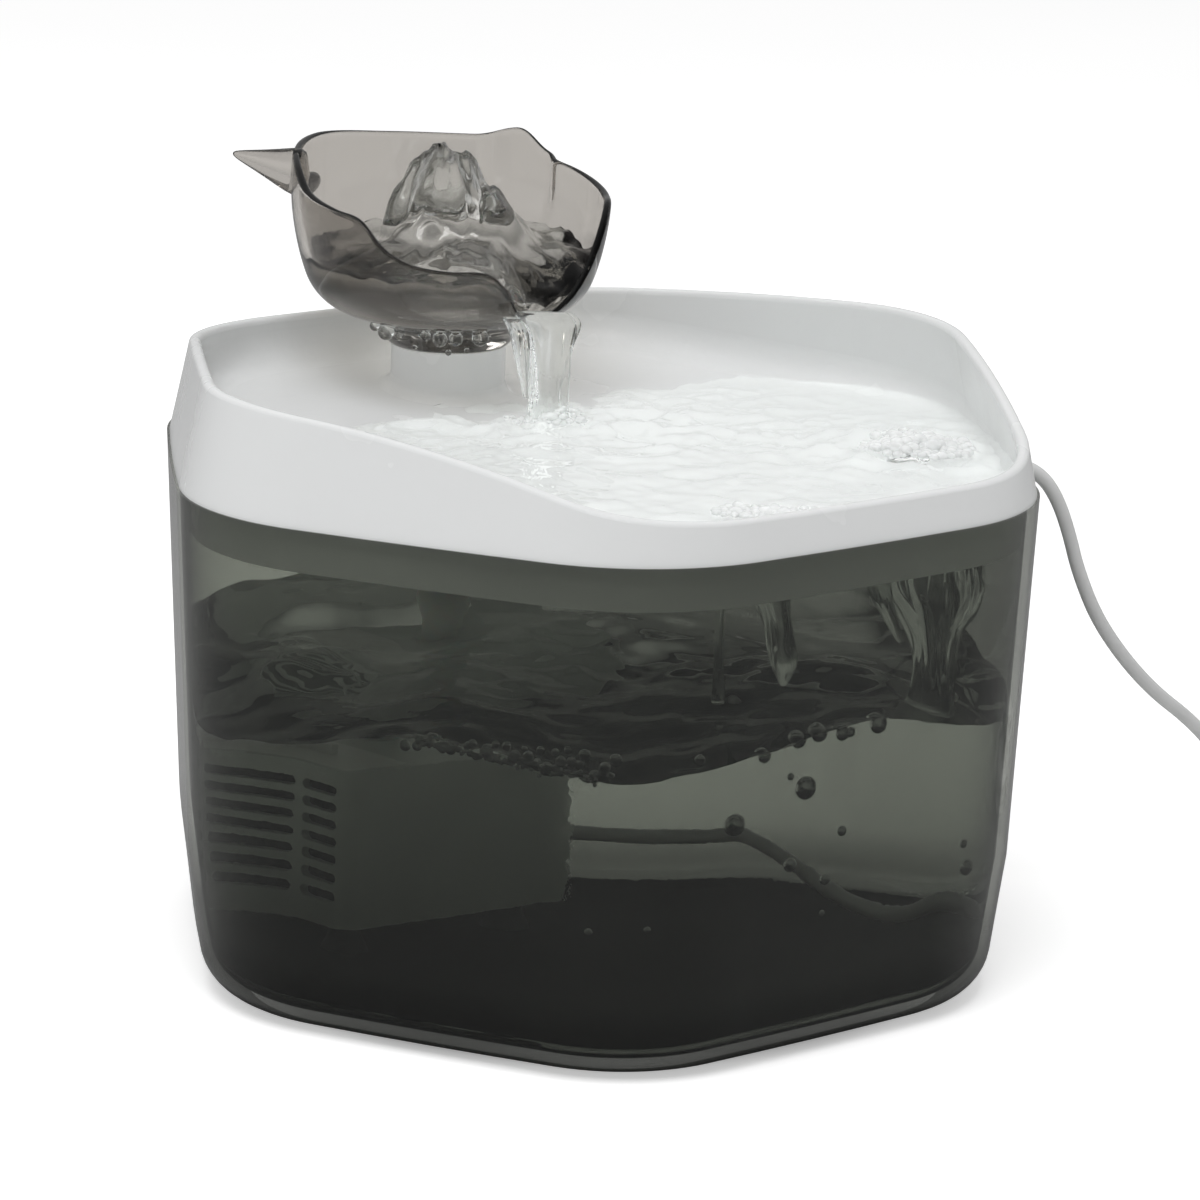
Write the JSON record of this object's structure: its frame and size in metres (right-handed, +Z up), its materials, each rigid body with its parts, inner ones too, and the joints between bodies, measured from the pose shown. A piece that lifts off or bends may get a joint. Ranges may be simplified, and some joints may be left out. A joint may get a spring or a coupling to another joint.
{
  "type": "pet water fountain",
  "caption": "Free-standing pet water fountain: smoked clear tank, white tray with a sloping bowl and drains, bird-shaped spout cup on a column, filter box with pump, USB cord.",
  "frame": {"origin": "middle of the tank's flat underside, on the surface it stands on", "axes": "+Z up; -Y towards the low drinking side of the tray; +X along the longer width, from corner to corner of the rounded hexagon"},
  "size_m": [0.3318, 0.192, 0.1773],
  "materials": {
    "smoked_clear": "smoked see-through plastic, polished",
    "smoked_cup": "smoked see-through plastic, warm grey, polished",
    "white_shell": "white moulded plastic, glossy",
    "grey_plastic": "grey moulded plastic, satin",
    "white_plastic": "white moulded plastic",
    "foam": "open black filter foam",
    "carbon": "granular carbon behind white fleece",
    "black_plastic": "black moulded plastic, satin",
    "rubber": "black rubber",
    "clear_silicone": "milky silicone",
    "ferrite": "ground ferrite",
    "steel": "stamped steel",
    "copper": "enamelled copper winding",
    "resin": "cast potting resin",
    "cord_white": "white cord jacket, satin"
  },
  "bodies": {
    "root": {"tank": "smoked_clear", "rim_grommet": "clear_silicone", "filter_box": "grey_plastic", "suction_cups": "rubber", "pump_body": "black_plastic", "volute_cover": "black_plastic", "volute_seal": "rubber", "rotor_shaft": "steel", "front_bush": "rubber", "rear_bush": "rubber", "stator_core": "steel", "stator_coil": "copper", "potting": "resin", "pump_gland": "cord_white", "riser_hose": "clear_silicone", "inner_cord": "cord_white", "cord": "cord_white", "cord_coil": "cord_white", "usb_plug": "cord_white", "usb_shell": "steel", "usb_tongue": "white_plastic"},
    "tray": {"tray": "white_shell"},
    "spout_ring": {"spout_ring": "clear_silicone"},
    "spout_cup": {"spout_cup": "smoked_cup"},
    "filter_lid": {"filter_box_lid": "grey_plastic"},
    "cartridge": {"cartridge_frame": "white_plastic", "filter_foam": "foam", "filter_carbon": "carbon"},
    "flow_slide": {"flow_slide": "black_plastic"},
    "impeller": {"impeller": "white_plastic", "rotor_magnet": "ferrite"}
  },
  "joints": [
    {"name": "tray_lift", "type": "slide", "parent": "root", "child": "tray", "axis": [0, 0, 1], "range_m": [0, 0.04]},
    {"name": "spout_swivel", "type": "hinge", "parent": "tray", "child": "spout_ring", "pos_m": [0, 0.058, 0.131], "axis": [0, 0, 1], "continuous": true},
    {"name": "spout_lift", "type": "slide", "parent": "spout_ring", "child": "spout_cup", "axis": [0, 0, 1], "range_m": [0, 0.03]},
    {"name": "filter_lid_lift", "type": "slide", "parent": "root", "child": "filter_lid", "axis": [0, 0, 1], "range_m": [0, 0.04]},
    {"name": "cartridge_lift", "type": "slide", "parent": "filter_lid", "child": "cartridge", "axis": [0, 0, 1], "range_m": [0, 0.04]},
    {"name": "flow_slide_travel", "type": "slide", "parent": "root", "child": "flow_slide", "axis": [0, 0, 1], "range_m": [0, 0.005]},
    {"name": "impeller_spin", "type": "hinge", "parent": "root", "child": "impeller", "pos_m": [0, 0.058, 0.027], "axis": [1, 0, 0], "continuous": true}
  ]
}
